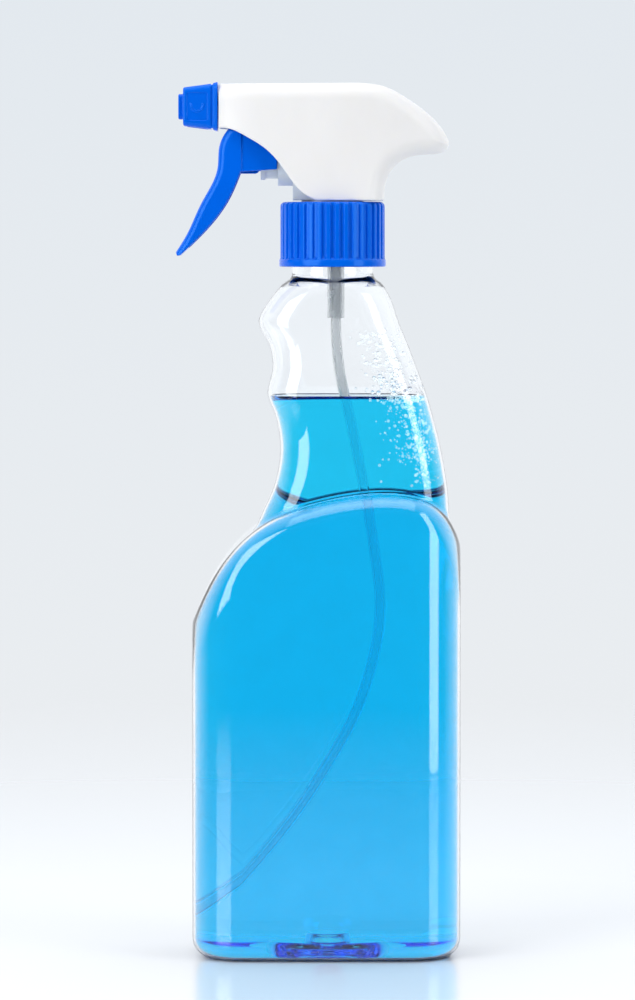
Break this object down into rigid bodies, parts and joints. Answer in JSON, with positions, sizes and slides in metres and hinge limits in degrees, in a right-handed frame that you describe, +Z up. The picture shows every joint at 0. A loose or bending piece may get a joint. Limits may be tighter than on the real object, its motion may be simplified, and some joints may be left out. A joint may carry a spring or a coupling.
{
  "type": "trigger spray bottle",
  "caption": "Clear waisted bottle of blue cleaning liquid with a screw-on trigger sprayer, ribbed collar, curved lever, shroud and square turning nozzle.",
  "frame": {"origin": "on the floor, under the middle of the whole outline", "axes": "+Z up, -X the way it sprays, Y across the bottle's depth"},
  "size_m": [0.0882, 0.0468, 0.2703],
  "materials": {
    "clear_pet": "clear blown PET, glossy",
    "blue_liquid": "clear blue water-based cleaning liquid",
    "clear_tube": "translucent polyethylene tube",
    "natural_pp": "unpigmented polypropylene, satin",
    "steel_ball": "polished stainless steel",
    "gasket_foam": "foamed polyethylene",
    "blue_plastic": "glossy moulded polypropylene",
    "seal_rubber": "soft polyethylene",
    "spring_steel": "drawn stainless wire",
    "white_plastic": "satin moulded polypropylene"
  },
  "bodies": {
    "bottle_body": {"bottle": "clear_pet", "cleaning_liquid": "blue_liquid"},
    "sprayer_head": {"pump_housing": "natural_pp", "shroud": "white_plastic", "neck_gasket": "gasket_foam", "tube_retainer": "natural_pp", "dip_tube": "clear_tube", "channel_plug": "natural_pp", "return_spring": "spring_steel", "outlet_valve_spring": "spring_steel", "swirl_core": "natural_pp", "nozzle_seal": "seal_rubber"},
    "collar": {"screw_collar": "blue_plastic"},
    "trigger_lever": {"trigger": "blue_plastic"},
    "piston_assembly": {"piston": "natural_pp", "piston_front_seal": "seal_rubber", "piston_rear_seal": "seal_rubber"},
    "nozzle": {"nozzle_cap": "blue_plastic"},
    "inlet_valve": {"inlet_ball": "steel_ball"},
    "outlet_valve_body": {"outlet_valve": "seal_rubber"}
  },
  "joints": [
    {"name": "head_lift", "type": "slide", "parent": "bottle_body", "child": "sprayer_head", "axis": [0, 0, 1], "range_m": [0, 0.00635], "deforming": ["cleaning_liquid"]},
    {"name": "collar_turn", "type": "hinge", "parent": "sprayer_head", "child": "collar", "pos_m": [0.00465, 0, 0.2234], "axis": [0, 0, 1], "range_deg": [0, 540]},
    {"name": "trigger_pull", "type": "hinge", "parent": "sprayer_head", "child": "trigger_lever", "pos_m": [-0.023, 0, 0.2585], "axis": [0, -1, 0], "range_deg": [0, 25], "stiffness_Nm_per_rad": 0.12, "springref_deg": -17.19},
    {"name": "piston_stroke", "type": "slide", "parent": "sprayer_head", "child": "piston_assembly", "axis": [1, 0, 0], "range_m": [0, 0.00596], "deforming": ["return_spring"]},
    {"name": "nozzle_turn", "type": "hinge", "parent": "sprayer_head", "child": "nozzle", "pos_m": [-0.036, 0, 0.2627], "axis": [-1, 0, 0], "continuous": true},
    {"name": "inlet_ball_lift", "type": "slide", "parent": "sprayer_head", "child": "inlet_valve", "axis": [0, 0, 1], "range_m": [0, 0.0015]},
    {"name": "outlet_valve_open", "type": "slide", "parent": "sprayer_head", "child": "outlet_valve_body", "axis": [-1, 0, 0], "range_m": [0, 0.0008], "stiffness_N_per_m": 20, "springref_m": -0.001, "deforming": ["outlet_valve_spring"]}
  ],
  "couplings": [
    {"joint": "trigger_pull", "follows": "piston_stroke", "rad_per_m": 73.2},
    {"joint": "collar_turn", "follows": "head_lift", "rad_per_m": 1484.2}
  ]
}
